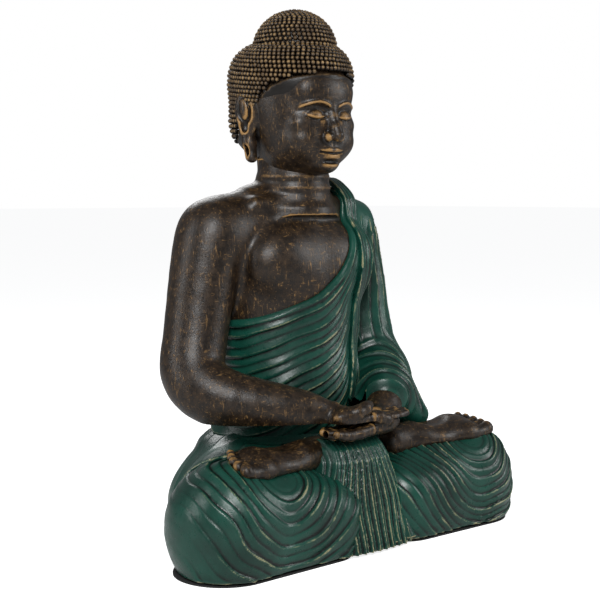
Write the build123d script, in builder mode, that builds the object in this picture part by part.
"""A seated meditating Buddha, cast in hollow sections that are pinned and glued together.

Frame: millimetres, +Z up, the figure faces -Y, +X is its left side. The origin is on the
underside, below the neck axis.
"""
from build123d import *
from math import cos, pi, radians, sin, sqrt
import os

# ---------------------------------------------------------------- shared fits
glue_gap = 0.3            # joint line left between two castings
wall = 9.0                # wall of the hollow castings
pin_radius = 4.0          # steel dowels in the joints
pin_clearance = 0.15      # radial, dowel in its hole
pin_depth = 12.0          # how far a dowel enters each casting
pin_end_gap = 1.0         # room at the end of a dowel's hole
level_steps = 2           # rings drawn for each level of a body or a limb

# ---------------------------------------------------------------- underside
felt_thickness = 2.0
felt_margin = 3.0         # the felt stops short of the seat casting's edge
plate_thickness = 9.0
plate_ledge = 6.0         # width of the ledge that the plate is screwed up against
plate_clearance = 0.4
screw_radius = 2.0
screw_head_radius = 4.0
screw_head_height = 2.5
screw_length = 22.0
boss_radius = 9.0

# ---------------------------------------------------------------- lap
lap_height = 116.0        # from the castings' foot to the top of the lap
leg_face_x = 62.0         # flat joints between the seat casting and the two legs
seat_front_y = 138.0      # flat joint between the seat casting and the front pleats
leg_dowel_inset = 60.0    # of the front dowels, from the seat's front
hip_half_width = 148.0
hip_half_depth = 96.0
hip_middle_height = 44.0
hip_foot_inset = 9.0      # the seat narrows this much at the ground
hip_upper_rise, hip_upper_inset = 36.0, 11.0
thigh_x, thigh_y, thigh_radius = 72.0, 8.0, 56.0
knee_x, knee_y, knee_radius = 180.0, 118.0, 60.0
ankle_x, ankle_y, ankle_radius = 66.0, 133.0, 42.0
drape_rises = (40.0, 28.0, 20.0, 14.0, 14.0)     # levels of the cloth over a leg
drape_shares = (0.95, 1.0, 0.95, 0.8, 0.58, 0.3)  # and its fullness at each
leg_fold_count = 5
leg_fold_start = 26.0     # radius of the innermost fold, round the foot's middle
leg_fold_pitch = 20.0
leg_fold_width = 8.0
leg_fold_height = 3.5     # how far a fold stands out of the leg

# ---------------------------------------------------------------- front pleats and hem
pleat_count = 8
pleat_depth = 5.0
pleat_top_reach = 14.0    # how far the pleats stand out of the seat's front, at the lap
pleat_hem_reach = 34.0    # and at the hem
ruffle_radius = 7.5
ruffle_count = 9
ruffle_height = 15.0
ruffle_bore = 3.0
ruffle_reach = 43.0

# ---------------------------------------------------------------- torso, from the lap up
waist_rise = 35.0
belly_rise = 50.0
rib_rise = 50.0
chest_rise = 50.0
shoulder_rise = 40.0
collar_rise = 27.0
neck_root_rise = 18.0
root_half_width, root_half_depth = 86.0, 64.0
waist_half_width, waist_half_depth = 78.0, 58.0
belly_half_width, belly_half_depth = 80.0, 62.0
rib_half_width, rib_half_depth = 84.0, 64.0
chest_half_width, chest_half_depth = 92.0, 66.0
shoulder_half_width, shoulder_half_depth = 97.0, 60.0
collar_half_width, collar_half_depth = 92.0, 50.0
neck_half_width, neck_half_depth = 56.0, 47.0
chest_lean = 4.0          # the chest's middle, forward of the neck axis
robe_thickness = 4.0      # cloth over the torso
torso_fold_count = 11
torso_fold_pitch = 15.0
torso_fold_width = 7.0
torso_fold_height = 3.0
neckline_side_rise = 128.0   # the robe's edge above the lap, under the right arm
neckline_fall = 12.0         # and how it falls further round
neckline_middle_rise = 164.0
neckline_chest_rise, neckline_chest_x = 212.0, 40.0
sash_x, sash_foot_x = 52.0, 36.0
sash_width, sash_foot_width = 26.0, 30.0
sash_foot_rise = 12.0        # the sash's end, above the lap
sash_thickness = 5.0

# ---------------------------------------------------------------- arms
arm_face_x = 90.0         # flat joints between the torso and the arms
shoulder_radius = 35.0
shoulder_drop = 42.0      # the shoulder joint, below the neck's root
upper_arm_radius = 34.0
upper_arm_drop = 118.0
elbow_x, elbow_y, elbow_drop = 144.0, 14.0, 198.0
elbow_radius, elbow_swell = 31.0, 0.8
forearm_radius = 27.0
wrist_x, wrist_y, wrist_rise = 50.0, 108.0, 31.0
wrist_radius = 17.0
arm_joint_y = 4.0
sleeve_elbow_x = 131.0
sleeve_thickness = 4.0
sleeve_upper_grow = -3.0  # the cloth hangs close to the upper arm
sleeve_fold_height = 1.2

# ---------------------------------------------------------------- hands and feet
lap_cloth_thickness = 4.0
palm_length, palm_width, palm_thickness = 60.0, 44.0, 16.0
finger_length, finger_radius = 42.0, 5.4
thumb_radius = 5.5
palm_offset, hand_y = 14.0, 134.0
foot_length, foot_width, foot_thickness = 110.0, 46.0, 20.0
heel_x, foot_y = 66.0, 118.0
heel_radius = 17.0
toe_length, toe_radius, toe_pitch = 16.0, 4.2, 9.2
tip_taper = 30.0          # degrees, the ends of fingers and toes
lap_cloth_half_width, lap_cloth_half_depth, lap_cloth_y = 112.0, 58.0, 100.0
lap_cloth_wave = 3.0

# ---------------------------------------------------------------- neck and head
neck_radius, neck_height = 40.0, 34.0
neck_ring_height = 1.8
neck_y = 6.0
chin_drop = 11.0          # the chin hangs below the neck's top
jaw_rise, cheek_rise, eye_rise, temple_rise = 15.0, 24.0, 27.0, 27.0
forehead_rise, vertex_rise, skull_top_rise = 26.0, 17.0, 6.0
chin_half_width, chin_half_depth = 24.0, 20.0
jaw_half_width, jaw_half_depth = 40.0, 49.0
cheek_half_width, cheek_half_depth = 52.0, 60.0
eye_half_width, eye_half_depth = 57.0, 67.0
temple_half_width, temple_half_depth = 59.0, 69.0
forehead_half_width, forehead_half_depth = 59.0, 68.0
vertex_half_width, vertex_half_depth = 53.0, 61.0
skull_top_half_width, skull_top_half_depth = 44.0, 51.0
head_y = 13.0
jaw_y = 21.0
chin_y = 46.0
hair_thickness = 9.0
hairline_height = 112.0   # above the chin
sideburn_height = 68.0
nape_side_height, nape_height = 48.0, 24.0
crown_radius, crown_height = 45.0, 38.0
curl_row_count = 8
curl_height = 1.6
ear_height, ear_width, ear_thickness = 84.0, 27.0, 18.0
ear_edge_radius = 2.0
ear_margin = 1.0          # between an ear and the hair round it
ear_base_height, ear_x, ear_y = 10.0, 52.0, 10.0
lobe_slot_width, lobe_slot_height = 6.0, 17.0
urna_radius = 2.8
bridge_radius, nose_radius, nose_reach = 5.0, 9.0, 9.0
eye_x, lid_half_width, lid_half_height, lid_reach = 23.0, 14.0, 6.5, 3.0
lip_gap, lip_half_width, lip_half_height, lip_reach = 15.0, 17.0, 3.5, 5.0

# ---------------------------------------------------------------- heights that follow
cast_z = felt_thickness
lap_z = cast_z + lap_height
cloth_z = lap_z + lap_cloth_thickness
TORSO = [
    (0.0, root_half_width, root_half_depth, 0.0),
    (waist_rise, waist_half_width, waist_half_depth, -chest_lean / 2),
    (belly_rise, belly_half_width, belly_half_depth, -chest_lean),
    (rib_rise, rib_half_width, rib_half_depth, -chest_lean),
    (chest_rise, chest_half_width, chest_half_depth, -chest_lean),
    (shoulder_rise, shoulder_half_width, shoulder_half_depth, 0.0),
    (collar_rise, collar_half_width, collar_half_depth, 0.0),
    (neck_root_rise, neck_half_width, neck_half_depth, 0.0),
]
neck_z = lap_z + sum(level[0] for level in TORSO)
head_z = neck_z + neck_height
chin_z = head_z - chin_drop
HEAD = [
    (0.0, chin_half_width, chin_half_depth, -chin_y),
    (jaw_rise, jaw_half_width, jaw_half_depth, -jaw_y),
    (cheek_rise, cheek_half_width, cheek_half_depth, -head_y),
    (eye_rise, eye_half_width, eye_half_depth, -head_y),
    (temple_rise, temple_half_width, temple_half_depth, -head_y),
    (forehead_rise, forehead_half_width, forehead_half_depth, -head_y),
    (vertex_rise, vertex_half_width, vertex_half_depth, -head_y),
    (skull_top_rise, skull_top_half_width, skull_top_half_depth, -head_y),
]
skull_z = chin_z + sum(level[0] for level in HEAD)
crown_z = skull_z + hair_thickness


# ---------------------------------------------------------------- shared forms
def between(before, low, high, after, share):
    """A Catmull-Rom step from low to high, for sizes that change smoothly."""
    bend = 2 * before - 5 * low + 4 * high - after
    lift = 3 * low - before - 3 * high + after
    return low + ((high - before) * share + bend * share**2 + lift * share**3) / 2


def filled_in(rows, steps):
    """The rows with steps - 1 more between each two, on smooth curves."""
    ends = [rows[0], *rows, rows[-1]]
    filled = []
    for before, low, high, after in zip(ends, ends[1:], ends[2:], ends[3:]):
        for turn in range(steps):
            share = turn / steps
            filled.append([between(*column, share) for column in zip(before, low, high, after)])
    return filled + [list(rows[-1])]


def body_form(bottom, levels, grow=0.0, lift=0.0):
    """A solid through ellipses; a level is (rise, half width, half depth, middle y)."""
    height = bottom
    rows = []
    for rise, half_width, half_depth, middle_y in levels:
        height += rise
        rows.append((height, half_width + grow, half_depth + grow, middle_y))
    rows[-1] = (height + lift, *rows[-1][1:])
    with BuildPart() as form:
        for level, half_width, half_depth, middle_y in filled_in(rows, level_steps):
            with BuildSketch(Plane.XY.offset(level)):
                with Locations((0, middle_y)):
                    Ellipse(half_width, half_depth)
        loft(ruled=True)
    return form.part


def limb_form(stations, grow=0.0, start=None, ridge=0.0):
    """A limb through circles square to its course; a station is (x, y, z, radius).

    A ridge makes every second ring stand out, as a sleeve's folds do.
    """
    rings = filled_in(stations, level_steps)
    last = len(rings) - 1
    with BuildPart() as form:
        for index, (x, y, z, radius) in enumerate(rings):
            behind = Vector(*rings[max(index - 1, 0)][:3])
            ahead = Vector(*rings[min(index + 1, last)][:3])
            course = start if start and index == 0 else ahead - behind
            across = course.cross(Vector(0, 1, -1))
            stand = ridge if index % 2 and index != last else 0.0
            with BuildSketch(Plane(origin=(x, y, z), x_dir=across, z_dir=course)):
                Circle(radius + grow + stand)
        loft(ruled=True)
    return form.part


def ridged_dome(half_width, half_depth, half_height, count, ridge, lean):
    """An ellipsoid with rings of folds round an axis that leans sideways by lean degrees."""
    ball = 100.0
    first, last = 25.0, 160.0
    step = (last - first) / count
    reach = ball * (1 + ridge / min(half_width, half_depth, half_height))
    with BuildPart() as dome:
        with BuildSketch(Plane.XZ):
            with BuildLine():
                rim = [(0, ball), (ball * sin(radians(first)) / 2, ball * (1 + cos(radians(first))) / 2)]
                for turn in range(count):
                    valley = radians(first + step * turn)
                    crest = radians(first + step * (turn + 0.6))
                    rim.append((ball * sin(valley), ball * cos(valley)))
                    rim.append((reach * sin(crest), reach * cos(crest)))
                rim.append((ball * sin(radians(last)), ball * cos(radians(last))))
                rim.append((0, ball * cos(radians(last))))
                Polyline(*rim, close=True)
            make_face()
        revolve(axis=Axis.Z)
    turned = Rot(0, lean, 0) * dome.part
    return scale(turned, by=(half_width / ball, half_depth / ball, half_height / ball))


def dowel_hole(plane):
    """A blind hole for a dowel, sunk both ways from a joint plane."""
    with BuildPart() as hole:
        with BuildSketch(plane):
            Circle(pin_radius + pin_clearance)
        extrude(amount=pin_depth + pin_end_gap, both=True)
    return hole.part


def dowel(plane):
    """A steel dowel across a joint plane."""
    with BuildPart() as pin:
        with BuildSketch(plane):
            Circle(pin_radius)
        extrude(amount=pin_depth, both=True)
    return pin.part


# ---------------------------------------------------------------- underside and seat
HIPS = [
    (0.0, hip_half_width - hip_foot_inset, hip_half_depth - hip_foot_inset, 0.0),
    (hip_middle_height, hip_half_width, hip_half_depth, 0.0),
    (hip_upper_rise, hip_half_width - hip_upper_inset, hip_half_depth - hip_upper_inset, 0.0),
    (
        lap_height - hip_middle_height - hip_upper_rise,
        root_half_width + hip_upper_inset,
        root_half_depth + hip_upper_inset,
        0.0,
    ),
]
hips = body_form(cast_z, HIPS)
cavity_half_width = leg_face_x - wall
cavity_front = seat_front_y - wall
cavity_back = root_half_depth
cavity_length = cavity_front + cavity_back
cavity_y = (cavity_back - cavity_front) / 2
plate_z = cast_z + plate_thickness
boss_spots = [
    (side * (cavity_half_width - boss_radius), end)
    for side in (-1, 1)
    for end in (cavity_back - boss_radius, boss_radius - cavity_front)
]
leg_dowel_spots = [
    (hip_middle_height, hip_half_depth / 2),
    (hip_middle_height, leg_dowel_inset - seat_front_y),
]
leg_dowel_planes = [
    Plane(origin=(side * leg_face_x, y, cast_z + rise), z_dir=(1, 0, 0))
    for side in (-1, 1)
    for rise, y in leg_dowel_spots
]
torso_dowel_x = root_half_width - (wall - robe_thickness) / 2
torso_dowel_planes = [
    Plane(origin=(side * torso_dowel_x, 0, lap_z), z_dir=(0, 0, 1)) for side in (-1, 1)
]
leg_holes = [dowel_hole(plane) for plane in leg_dowel_planes]
torso_holes = [dowel_hole(plane) for plane in torso_dowel_planes]

with BuildPart() as seat_casting:
    add(hips)
    with BuildSketch(Plane.XY.offset(cast_z)):
        with Locations((0, -seat_front_y / 2)):
            Rectangle(2 * leg_face_x, seat_front_y)
    extrude(amount=lap_height)
    with BuildSketch(Plane.XY.offset(cast_z)):
        Rectangle(2 * leg_face_x, 4 * seat_front_y)
    extrude(amount=lap_height, mode=Mode.INTERSECT)
    with BuildSketch(Plane.XY.offset(cast_z)):
        with Locations((0, cavity_y)):
            RectangleRounded(2 * cavity_half_width, cavity_length, boss_radius)
    extrude(amount=lap_height - wall, mode=Mode.SUBTRACT)
    with BuildSketch(Plane.XY.offset(plate_z)):
        with Locations(*boss_spots):
            Circle(boss_radius)
    extrude(amount=lap_height - wall - plate_thickness)
    with BuildSketch(Plane.XY.offset(plate_z)):
        with Locations(*boss_spots):
            Circle(screw_radius + pin_clearance)
    extrude(amount=screw_length, mode=Mode.SUBTRACT)
    for hole in leg_holes:
        add(hole, mode=Mode.SUBTRACT)
seat_casting.part.label = "seat_casting"

with BuildPart() as base_plate:
    with BuildSketch(Plane.XY.offset(cast_z)):
        with Locations((0, cavity_y)):
            RectangleRounded(
                2 * (cavity_half_width - plate_clearance),
                cavity_length - 2 * plate_clearance,
                boss_radius - plate_clearance,
            )
    extrude(amount=plate_thickness)
    with BuildSketch(Plane.XY.offset(cast_z)):
        with Locations(*boss_spots):
            Circle(screw_radius + pin_clearance)
    extrude(amount=plate_thickness, mode=Mode.SUBTRACT)
    with BuildSketch(Plane.XY.offset(cast_z)):
        with Locations(*boss_spots):
            Circle(screw_head_radius + pin_clearance)
    extrude(amount=screw_head_height, mode=Mode.SUBTRACT)
base_plate.part.label = "base_plate"

with BuildPart() as base_screws:
    with BuildSketch(Plane.XY.offset(cast_z)):
        with Locations(*boss_spots):
            Circle(screw_head_radius)
    extrude(amount=screw_head_height)
    with BuildSketch(Plane.XY.offset(cast_z)):
        with Locations(*boss_spots):
            Circle(screw_radius)
    extrude(amount=screw_length)
base_screws.part.label = "base_screws"

# ---------------------------------------------------------------- legs under the robe
foot_z = lap_z - foot_thickness
foot_x = heel_x + foot_length / 2


def foot_plan(side, grow=0.0):
    """The foot's outline, heel inwards and toes outwards."""
    ball_x = side * (heel_x + foot_length - toe_length - foot_width / 2)
    toe_x = side * (heel_x + foot_length - toe_radius)
    toe_spots = [(toe_x, -foot_y + row * toe_pitch) for row in (-2, 2)]
    with BuildSketch() as plan:
        with Locations((side * (heel_x + heel_radius), -foot_y)):
            Circle(heel_radius + grow)
        with Locations((ball_x, -foot_y)):
            Circle(foot_width / 2 + grow)
        with Locations(*toe_spots):
            Circle(toe_radius + grow)
        make_hull()
    return plan.sketch


def drape_plan(side, share, grow=0.0):
    """Outline of the cloth over thigh, knee and ankle at one level."""
    with BuildSketch() as plan:
        with Locations((side * thigh_x, -thigh_y)):
            Circle(thigh_radius * share + grow)
        with Locations((side * knee_x, -knee_y)):
            Circle(knee_radius * share + grow)
        with Locations((side * ankle_x, -ankle_y)):
            Circle(ankle_radius * share + grow)
        make_hull()
    return plan.sketch


def drape_form(side, grow=0.0):
    """The cloth over a crossed leg, hanging almost straight to the ground."""
    height = cast_z
    plans = [(height, drape_plan(side, drape_shares[0], grow))]
    for rise, share in zip(drape_rises, drape_shares[1:]):
        height += rise
        plans.append((height, drape_plan(side, share, grow)))
    with BuildPart() as drape:
        for level, plan in plans:
            with BuildSketch(Plane.XY.offset(level)):
                add(plan)
        loft(ruled=True)
    return drape.part


def fold_rings(side):
    """The field of the folds that hang round the foot, seen from the front."""
    with BuildPart() as rings:
        with BuildSketch(Plane.XZ.offset(ankle_y - ankle_radius)):
            for fold in reversed(range(leg_fold_count)):
                radius = leg_fold_start + fold * leg_fold_pitch
                with Locations((side * foot_x, foot_z)):
                    Circle(radius + leg_fold_width)
                    Circle(radius, mode=Mode.SUBTRACT)
        extrude(amount=knee_y + knee_radius)
    return rings.part


def leg_form(side):
    """Thigh, knee and shin under the robe, whose folds ring the foot that lies on them."""
    drape = drape_form(side)
    folds = drape_form(side, leg_fold_height) & fold_rings(side)
    foot_hole = foot_plan(side, glue_gap)
    reach = 2 * (knee_x + knee_radius)
    with BuildPart() as leg:
        add(drape)
        add(hips)
        add(folds)
        with BuildSketch(Plane.XY.offset(cast_z)):
            with Locations((side * (leg_face_x + reach / 2), 0)):
                Rectangle(reach, reach)
        extrude(amount=lap_height, mode=Mode.INTERSECT)
        with BuildSketch(Plane.XY.offset(foot_z)):
            add(foot_hole)
        extrude(amount=2 * foot_thickness, mode=Mode.SUBTRACT)
        for hole in leg_holes + torso_holes:
            add(hole, mode=Mode.SUBTRACT)
    return leg.part


right_leg = leg_form(-1)
with BuildPart() as right_leg_drape:
    add(right_leg)
right_leg_drape.part.label = "right_leg_drape"

left_leg = leg_form(1)
with BuildPart() as left_leg_drape:
    add(left_leg)
left_leg_drape.part.label = "left_leg_drape"

leg_pins = [dowel(plane) for plane in leg_dowel_planes]
with BuildPart() as leg_dowels:
    for pin in leg_pins:
        add(pin)
leg_dowels.part.label = "leg_dowels"

with BuildPart() as felt_sheet:
    with BuildSketch():
        Ellipse(
            hip_half_width - hip_foot_inset - felt_margin,
            hip_half_depth - hip_foot_inset - felt_margin,
        )
        add(drape_plan(-1, drape_shares[0], -felt_margin))
        add(drape_plan(1, drape_shares[0], -felt_margin))
        with Locations((0, -seat_front_y / 2)):
            Rectangle(2 * leg_face_x, seat_front_y + 2 * felt_margin)
    extrude(amount=felt_thickness)
felt_sheet.part.label = "felt_sheet"


# ---------------------------------------------------------------- front pleats and hem
def pleat_plan(reach, depth):
    """The pleats' section: flat against the seat, a row of rounded folds in front."""
    width = 2 * leg_face_x / pleat_count
    with BuildSketch() as plan:
        with BuildLine():
            back = -seat_front_y
            front = back - reach
            Polyline(
                (-leg_face_x, front),
                (-leg_face_x, back),
                (leg_face_x, back),
                (leg_face_x, front),
            )
            for pleat in range(pleat_count):
                left = -leg_face_x + pleat * width
                ThreePointArc(
                    (left, front),
                    (left + width / 2, front - depth),
                    (left + width, front),
                )
        make_face()
    return plan.sketch


pleat_levels = [
    (
        cast_z + lap_height * share,
        pleat_plan(pleat_hem_reach + (pleat_top_reach - pleat_hem_reach) * share**2, depth),
    )
    for share, depth in ((0.0, pleat_depth), (0.5, pleat_depth), (1.0, pleat_depth / 2))
]
with BuildPart() as front_pleats:
    for height, plan in pleat_levels:
        with BuildSketch(Plane.XY.offset(height)):
            add(plan)
    loft(ruled=True)
front_pleats.part.label = "front_pleats"

with BuildPart() as hem_ruffles:
    ruffle_span = leg_face_x - ruffle_radius
    ruffle_pitch = 2 * ruffle_span / (ruffle_count - 1)
    ruffle_spots = [
        (-ruffle_span + ruffle_pitch * turn, -seat_front_y - ruffle_reach)
        for turn in range(ruffle_count)
    ]
    with BuildSketch(Plane.XY.offset(cast_z)):
        with Locations(*ruffle_spots):
            Circle(ruffle_radius)
        with Locations((0, -seat_front_y - ruffle_reach / 2)):
            Rectangle(2 * ruffle_span, ruffle_reach)
    extrude(amount=ruffle_height)
    with BuildSketch(Plane.XY.offset(cast_z)):
        with Locations(*ruffle_spots):
            Circle(ruffle_bore)
    extrude(amount=ruffle_height, mode=Mode.SUBTRACT)
    add(front_pleats.part, mode=Mode.SUBTRACT)
hem_ruffles.part.label = "hem_ruffles"


# ---------------------------------------------------------------- feet and lap cloth
def foot_form(side):
    """A foot lying sole up, cut off at the heel where the lap cloth covers it."""
    ball_x = side * (heel_x + foot_length - toe_length - foot_width / 2)
    with BuildPart() as foot:
        with BuildSketch(Plane.XY.offset(foot_z)):
            with Locations((side * (heel_x + heel_radius), -foot_y)):
                Circle(heel_radius)
            with Locations((ball_x, -foot_y)):
                Circle(foot_width / 2)
            make_hull()
        extrude(amount=foot_thickness)
        chamfer(foot.faces().sort_by(Axis.Z)[-1].edges(), foot_thickness / 5)
        for toe in range(5):
            spot = Plane(
                origin=(ball_x, -foot_y + (toe - 2) * toe_pitch, foot_z + foot_thickness / 2),
                z_dir=(side, 0, 0),
            )
            reach = foot_width / 2 + toe_length - toe_radius - abs(toe - 1) * toe_radius / 3
            with BuildSketch(spot):
                Circle(toe_radius)
            extrude(amount=reach)
            with BuildSketch(spot.offset(reach)):
                Circle(toe_radius)
            extrude(amount=toe_radius, taper=tip_taper)
    return foot.part


sole_up_left = foot_form(-1)
with BuildPart() as left_foot:
    add(sole_up_left)
left_foot.part.label = "left_foot"

sole_up_right = foot_form(1)
with BuildPart() as right_foot:
    add(sole_up_right)
right_foot.part.label = "right_foot"

with BuildPart() as lap_cloth:
    wave_count = 8
    edge = [
        (
            (lap_cloth_half_width + lap_cloth_wave * sin(wave_count / 2 * a)) * cos(a),
            (lap_cloth_half_depth + lap_cloth_wave * sin(wave_count / 2 * a)) * sin(a) - lap_cloth_y,
        )
        for a in [2 * pi * turn / (4 * wave_count) for turn in range(4 * wave_count)]
    ]
    with BuildSketch(Plane.XY.offset(lap_z)):
        with BuildLine():
            Spline(*edge, periodic=True)
        make_face()
        Ellipse(
            root_half_width + robe_thickness + torso_fold_height + glue_gap,
            root_half_depth + robe_thickness + torso_fold_height + glue_gap,
            mode=Mode.SUBTRACT,
        )
    extrude(amount=lap_cloth_thickness)
lap_cloth.part.label = "lap_cloth"


# ---------------------------------------------------------------- torso
torso_reach = 3 * shoulder_half_width


def robe_region(drop=0.0, shift=0.0):
    """All that lies below and to the left of the robe's edge, from under the right arm."""
    rim = [
        (-torso_reach + shift, lap_z + neckline_side_rise - 2 * neckline_fall - drop),
        (-arm_face_x + shift, lap_z + neckline_side_rise - drop),
        (shift, lap_z + neckline_middle_rise - drop),
        (neckline_chest_x + shift, lap_z + neckline_chest_rise - drop),
        (sash_x + shift, neck_z + 2 * torso_fold_pitch - drop),
    ]
    with BuildPart() as region:
        with BuildSketch(Plane.XZ):
            with BuildLine():
                Spline(*rim)
                Polyline(rim[-1], (torso_reach, rim[-1][1]), (torso_reach, 0), (rim[0][0], 0), rim[0])
            make_face()
        extrude(amount=torso_reach, both=True)
    return region.part


def torso_form(grow=0.0):
    """The torso between its two arm joints, grown by a cloth's thickness."""
    form = body_form(lap_z, TORSO, grow)
    with BuildPart() as torso:
        add(form)
        with BuildSketch(Plane.XY.offset(lap_z)):
            Rectangle(2 * arm_face_x, 2 * torso_reach)
        extrude(amount=neck_z, mode=Mode.INTERSECT)
    return torso.part


torso_bare = torso_form()
torso_clothed = torso_form(robe_thickness)
torso_crests = torso_form(robe_thickness + torso_fold_height)
torso_hollow = body_form(lap_z, TORSO[:-2], -wall)
robe_field = robe_region()
skin_edge = robe_region(-glue_gap, -glue_gap)
fold_bands = [
    robe_region(fold * torso_fold_pitch) - robe_region(fold * torso_fold_pitch + torso_fold_width)
    for fold in range(torso_fold_count)
]
arm_joint_z = neck_z - shoulder_drop
arm_dowel_planes = [
    Plane(origin=(side * arm_face_x, arm_joint_y, arm_joint_z), z_dir=(1, 0, 0)) for side in (-1, 1)
]
neck_dowel_plane = Plane(origin=(0, -neck_y, neck_z), z_dir=(0, 0, 1))
head_dowel_plane = Plane(origin=(0, -neck_y, head_z), z_dir=(0, 0, 1))
arm_holes = [dowel_hole(plane) for plane in arm_dowel_planes]
neck_hole = dowel_hole(neck_dowel_plane)
head_hole = dowel_hole(head_dowel_plane)

with BuildPart() as torso_skin:
    add(torso_bare)
    add(skin_edge, mode=Mode.SUBTRACT)
    add(torso_hollow, mode=Mode.SUBTRACT)
    add(neck_hole, mode=Mode.SUBTRACT)
    add(arm_holes[0], mode=Mode.SUBTRACT)
torso_skin.part.label = "torso_skin"

robe_cloth = torso_clothed & robe_field
crest_cloth = torso_crests & robe_field
robe_crests = [crest_cloth & band for band in fold_bands]
with BuildPart() as torso_robe:
    add(robe_cloth)
    add(robe_crests)
    add(torso_hollow, mode=Mode.SUBTRACT)
    for hole in torso_holes + arm_holes[1:]:
        add(hole, mode=Mode.SUBTRACT)
torso_robe.part.label = "torso_robe"

sash_under = body_form(lap_z, TORSO, robe_thickness + torso_fold_height + glue_gap, glue_gap)
sash_over = body_form(
    lap_z,
    TORSO,
    robe_thickness + torso_fold_height + glue_gap + sash_thickness,
    glue_gap + sash_thickness,
)
with BuildPart() as shoulder_sash:
    with BuildSketch(Plane.XZ):
        with BuildLine():
            foot = lap_z + lap_cloth_thickness + sash_foot_rise
            Polyline(
                (sash_foot_x, foot),
                (sash_foot_x, lap_z + neckline_middle_rise / 2),
                (sash_x, neck_z + 2 * sash_thickness),
                (sash_x + sash_width, neck_z + 2 * sash_thickness),
                (sash_foot_x + sash_foot_width, foot),
                close=True,
            )
        make_face()
    extrude(amount=torso_reach, both=True)
    add(sash_over, mode=Mode.INTERSECT)
    add(sash_under, mode=Mode.SUBTRACT)
shoulder_sash.part.label = "shoulder_sash"

# ---------------------------------------------------------------- hands
def hand_form(side, bottom):
    """A hand lying palm up: palm, four fingers pointing across the lap, and the thumb."""
    knuckles = side * (palm_offset - palm_length / 2)
    finger_z = bottom + palm_thickness / 2
    pitch = palm_width / 4
    thumb_y = -hand_y - palm_width / 2
    ball = (side * (palm_offset + palm_length / 8), thumb_y + thumb_radius / 2, finger_z)
    bend = (
        side * 2.6 * thumb_radius,
        thumb_y - thumb_radius - glue_gap,
        (finger_z + thumb_meeting_z) / 2,
    )
    tip = (side * glue_gap / 2, thumb_y, thumb_meeting_z)
    thumb = limb_form(
        [(*ball, thumb_radius), (*bend, thumb_radius), (*tip, thumb_radius)],
        start=Vector(-side, 0, 0) if False else None,
    )
    with BuildPart() as hand:
        with BuildSketch(Plane.XY.offset(bottom)):
            with Locations((side * palm_offset, -hand_y)):
                RectangleRounded(palm_length, palm_width, palm_width / 4)
        extrude(amount=palm_thickness)
        levels = hand.edges().group_by(Axis.Z)
        chamfer(levels[0] + levels[-1], palm_thickness / 5)
        for finger in range(4):
            reach = finger_length + pitch - abs(finger - 1.5) * finger_radius
            root = Plane(
                origin=(knuckles + side * pitch, -hand_y + (finger - 1.5) * pitch, finger_z),
                z_dir=(-side, 0, 0),
            )
            with BuildSketch(root):
                Circle(finger_radius)
            extrude(amount=reach)
            with BuildSketch(root.offset(reach)):
                Circle(finger_radius)
            extrude(amount=finger_radius, taper=tip_taper)
        add(thumb)
    return hand.part


hand_top_z = cloth_z + 2 * palm_thickness
thumb_meeting_z = hand_top_z + thumb_radius + glue_gap
lower_hand = hand_form(1, cloth_z)
upper_hand = hand_form(-1, cloth_z + palm_thickness)


# ---------------------------------------------------------------- arms
def upper_arm_course(elbow_reach):
    """From the joint at the torso, over the shoulder's ball, down to the elbow."""
    return [
        (arm_face_x, arm_joint_y, arm_joint_z, shoulder_radius),
        (arm_face_x + shoulder_radius / 2, arm_joint_y, arm_joint_z - 6, shoulder_radius + 1),
        (arm_face_x + shoulder_radius - 4, arm_joint_y, arm_joint_z - 34, shoulder_radius),
        (elbow_reach - 14, -elbow_y / 4, neck_z - upper_arm_drop, upper_arm_radius),
        (elbow_reach, -elbow_y, neck_z - elbow_drop, elbow_radius),
    ]


def forearm_course(elbow_reach, palm_z):
    """From the elbow, in over the lap, to the heel of the palm."""
    elbow_z = neck_z - elbow_drop
    return [
        (elbow_reach, -elbow_y, elbow_z, elbow_radius),
        (elbow_reach - 20, -elbow_y - 34, elbow_z - 14, forearm_radius),
        (wrist_x + 34, 26 - wrist_y, wrist_z + 6, (forearm_radius + wrist_radius) / 2),
        (wrist_x, -wrist_y, wrist_z, wrist_radius),
        (palm_offset + palm_length / 3, -hand_y, palm_z, palm_thickness / 2 - glue_gap),
    ]


wrist_z = cloth_z + wrist_rise
outward = Vector(1, 0, 0)


def arm_form(elbow_reach, forearm, upper_grow=0.0, grow=0.0, ridge=0.0):
    """Upper arm, elbow and forearm of the figure's left side."""
    upper = limb_form(upper_arm_course(elbow_reach), upper_grow, outward)
    lower = limb_form(forearm, grow, ridge=ridge)
    with BuildPart() as arm:
        add(upper)
        with BuildSketch(Plane.YZ.offset(arm_face_x)):
            Rectangle(torso_reach, 4 * neck_z)
        extrude(amount=elbow_reach, mode=Mode.INTERSECT)
        with Locations((elbow_reach, -elbow_y, neck_z - elbow_drop)):
            Sphere(elbow_radius + elbow_swell + grow)
        add(lower)
    return arm.part


bare_course = forearm_course(elbow_x, cloth_z + 1.5 * palm_thickness)
bare_arm = mirror(arm_form(elbow_x, bare_course), Plane.YZ)
with BuildPart() as right_arm:
    add(bare_arm)
    add(upper_hand, mode=Mode.SUBTRACT)
    add(arm_holes[0], mode=Mode.SUBTRACT)
right_arm.part.label = "right_arm"

with BuildPart() as right_hand:
    add(upper_hand)
right_hand.part.label = "right_hand"

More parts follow.
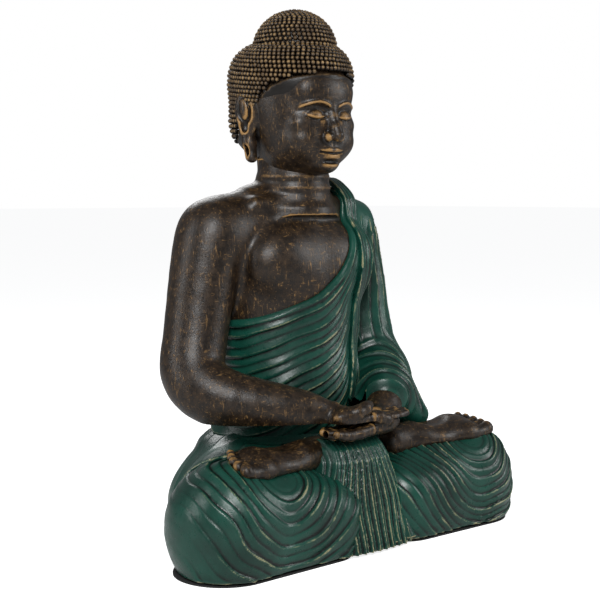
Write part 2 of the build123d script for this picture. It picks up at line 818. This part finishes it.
clothed_course = forearm_course(sleeve_elbow_x, cloth_z + 0.5 * palm_thickness)
left_wrist = limb_form(clothed_course[1:])
wrist_bore = limb_form(clothed_course[1:], glue_gap)
cuff_course = filled_in(clothed_course[:-2], 2)
clothed_arm = arm_form(
    sleeve_elbow_x, cuff_course, sleeve_upper_grow, sleeve_thickness, sleeve_fold_height
)
with BuildPart() as left_hand:
    add(lower_hand)
    add(left_wrist)
    add(upper_hand, mode=Mode.SUBTRACT)
left_hand.part.label = "left_hand"

with BuildPart() as left_sleeve:
    add(clothed_arm)
    add(wrist_bore, mode=Mode.SUBTRACT)
    add(arm_holes[1], mode=Mode.SUBTRACT)
left_sleeve.part.label = "left_sleeve"

# ---------------------------------------------------------------- neck and head
with BuildPart() as neck:
    with BuildSketch(Plane.XZ.offset(neck_y)):
        with BuildLine():
            ring = neck_height / 4
            rim = [(neck_radius, neck_z + ring * (turn + 0.5)) for turn in range(4)]
            outline = [(0, head_z), (0, neck_z), (neck_radius + neck_ring_height, neck_z)]
            for lower, upper in zip(rim, rim[1:]):
                crest = (neck_radius + neck_ring_height, (lower[1] + upper[1]) / 2)
                outline += [lower, crest]
            Polyline(*outline, rim[-1], (neck_radius, head_z), close=True)
        make_face()
    revolve(axis=Axis((0, -neck_y, 0), (0, 0, 1)))
    add(neck_hole, mode=Mode.SUBTRACT)
    add(head_hole, mode=Mode.SUBTRACT)
neck.part.label = "neck"

eye_z = chin_z + jaw_rise + cheek_rise + eye_rise
skull = body_form(chin_z, HEAD)
skull_clear = body_form(chin_z, HEAD, glue_gap)
nose_z = eye_z - cheek_rise
mouth_z = nose_z - lip_gap
nose_bridge = limb_form(
    [
        (0, -head_y - temple_half_depth + bridge_radius, eye_z + temple_rise / 2, bridge_radius),
        (0, -head_y - eye_half_depth + bridge_radius / 2, eye_z, bridge_radius),
        (0, -head_y - cheek_half_depth - nose_reach / 2, nose_z + nose_reach, nose_radius),
    ]
)


def pebble(x, y, z, half_width, reach, half_height):
    """A low mound that rises forwards from an ellipse, for the lids, lips and nostrils."""
    with BuildPart() as mound:
        for share in (0.0, 0.5, 0.85):
            with BuildSketch(Plane(origin=(x, y - reach * share, z), x_dir=(1, 0, 0), z_dir=(0, -1, 0))):
                Ellipse(half_width * sqrt(1 - share**2), half_height * sqrt(1 - share**2))
        loft(ruled=True)
    return mound.part


urna_seat = Plane(
    origin=(0, urna_radius / 2 - head_y - temple_half_depth, eye_z + temple_rise),
    z_dir=(0, -1, 0),
)
lid_y = -head_y - eye_half_depth * cos(pi * eye_x / (4 * eye_half_width)) + lid_reach
face_y = -head_y - cheek_half_depth + lip_reach
lids = [
    pebble(side * eye_x, lid_y, eye_z, lid_half_width, 2 * lid_reach, lid_half_height)
    for side in (-1, 1)
]
wings = [
    pebble(side * nose_radius * 0.8, face_y, nose_z, nose_radius / 2, 2 * lip_reach, nose_radius / 2)
    for side in (-1, 1)
]
lips = [
    pebble(0, face_y, mouth_z + side * lip_half_height, lip_half_width, 2 * lip_reach, lip_half_height)
    for side in (-1, 1)
]

with BuildPart() as head:
    add(skull)
    add(nose_bridge)
    for bump in lids + wings + lips:
        add(bump)
    with BuildSketch(Plane.XY.offset(neck_z)):
        with Locations((0, -neck_y)):
            Circle(neck_radius + neck_ring_height + glue_gap)
    extrude(amount=neck_height, mode=Mode.SUBTRACT)
    add(head_hole, mode=Mode.SUBTRACT)
    with BuildSketch(urna_seat):
        Circle(urna_radius + glue_gap)
    extrude(amount=2 * urna_radius, mode=Mode.SUBTRACT)
head.part.label = "head"

# ---------------------------------------------------------------- hair
hair_form = body_form(chin_z, HEAD[1:], hair_thickness, hair_thickness)
hair_reach = 3 * temple_half_depth
ear_top_z = chin_z + ear_base_height + ear_height
with BuildPart() as hair_cap:
    add(hair_form)
    with BuildSketch(Plane.YZ):
        with BuildLine():
            hairline_z = chin_z + hairline_height
            sideburn_z = chin_z + sideburn_height
            Polyline(
                (hair_reach, crown_z),
                (-hair_reach, crown_z),
                (-hair_reach, hairline_z),
                (-ear_y - 1.5 * ear_width, hairline_z - hair_thickness),
                (-ear_y - ear_width, sideburn_z),
                (-ear_y - ear_width / 2 - ear_margin, sideburn_z + ear_width / 2),
                (-ear_y - ear_width / 2 - ear_margin, ear_top_z + ear_margin),
                (-ear_y + ear_width / 2 + ear_margin, ear_top_z + ear_margin),
                (-ear_y + ear_width / 2 + ear_margin, chin_z + nape_side_height),
                (hair_reach, chin_z + nape_height),
                close=True,
            )
        make_face()
    extrude(amount=hair_reach, both=True, mode=Mode.INTERSECT)
    add(skull_clear, mode=Mode.SUBTRACT)
hair_cap.part.label = "hair_cap"

with BuildPart() as crown:
    with BuildSketch(Plane.XZ.offset(head_y)):
        with BuildLine():
            step = pi / (2 * curl_row_count + 1)
            rows = [step * row for row in range(curl_row_count + 1)]
            rim = [(crown_radius * cos(a), crown_z + crown_height * sin(a)) for a in rows]
            outline = [(0, crown_z)]
            for a, lower in zip(rows, rim):
                turn = a + step / 2
                crest = (
                    (crown_radius + curl_height) * cos(turn),
                    crown_z + (crown_height + curl_height) * sin(turn),
                )
                outline += [lower, crest]
            Polyline(*outline[:-1], (0, rim[-1][1]), close=True)
        make_face()
    revolve(axis=Axis((0, -head_y, 0), (0, 0, 1)))
crown.part.label = "crown"


def ear_form(side):
    """A long ear with its pierced lobe, flat behind, seated on the head and the hair."""
    bottom = ear_top_z - ear_height
    shell = ear_width / 2
    lobe = ear_width * 0.36
    with BuildPart() as ear:
        with BuildSketch(Plane.YZ.offset(side * ear_x)):
            with Locations((-ear_y, ear_top_z - shell * 1.3)):
                Ellipse(shell, shell * 1.3)
            with Locations((-ear_y - lobe / 3, bottom + lobe)):
                Circle(lobe)
            make_hull()
            with Locations((-ear_y - lobe / 3, bottom + lobe_slot_height)):
                SlotOverall(lobe_slot_height, lobe_slot_width, rotation=90, mode=Mode.SUBTRACT)
        extrude(amount=side * ear_thickness)
        rim = ear.faces().sort_by(Axis.X)[-1 if side > 0 else 0]
        chamfer(rim.edges(), ear_edge_radius)
        with BuildSketch(Plane.YZ.offset(side * (ear_x + ear_thickness))):
            with Locations((-ear_y - shell / 4, ear_top_z - shell * 1.4)):
                Ellipse(shell * 0.5, shell * 0.85)
        extrude(amount=-side * ear_thickness / 3, mode=Mode.SUBTRACT)
        add(skull_clear, mode=Mode.SUBTRACT)
        add(hair_clear, mode=Mode.SUBTRACT)
    return ear.part


hair_clear = hair_cap.part
right_ear_form = ear_form(-1)
left_ear_form = ear_form(1)
with BuildPart() as right_ear:
    add(right_ear_form)
right_ear.part.label = "right_ear"

with BuildPart() as left_ear:
    add(left_ear_form)
left_ear.part.label = "left_ear"

with BuildPart() as urna:
    with BuildSketch(urna_seat):
        Circle(urna_radius)
    extrude(amount=urna_radius)
    chamfer(urna.edges().sort_by(Axis.Y)[0], urna_radius / 3)
urna.part.label = "urna"

# ---------------------------------------------------------------- dowels in the upper joints
arm_pins = [dowel(plane) for plane in arm_dowel_planes]
with BuildPart() as arm_dowels:
    for pin in arm_pins:
        add(pin)
arm_dowels.part.label = "arm_dowels"

neck_pins = [dowel(plane) for plane in (neck_dowel_plane, head_dowel_plane)]
with BuildPart() as neck_dowels:
    for pin in neck_pins:
        add(pin)
neck_dowels.part.label = "neck_dowels"

torso_pins = [dowel(plane) for plane in torso_dowel_planes]
with BuildPart() as torso_dowels:
    for pin in torso_pins:
        add(pin)
torso_dowels.part.label = "torso_dowels"

# ---------------------------------------------------------------- files
PARTS = [
    felt_sheet,
    base_plate,
    base_screws,
    seat_casting,
    right_leg_drape,
    left_leg_drape,
    leg_dowels,
    front_pleats,
    hem_ruffles,
    left_foot,
    right_foot,
    lap_cloth,
    torso_skin,
    torso_robe,
    torso_dowels,
    shoulder_sash,
    right_arm,
    left_sleeve,
    arm_dowels,
    left_hand,
    right_hand,
    neck,
    neck_dowels,
    head,
    hair_cap,
    crown,
    right_ear,
    left_ear,
    urna,
]
os.makedirs("parts", exist_ok=True)
for piece in PARTS:
    export_step(piece.part, f"parts/{piece.part.label}.step")
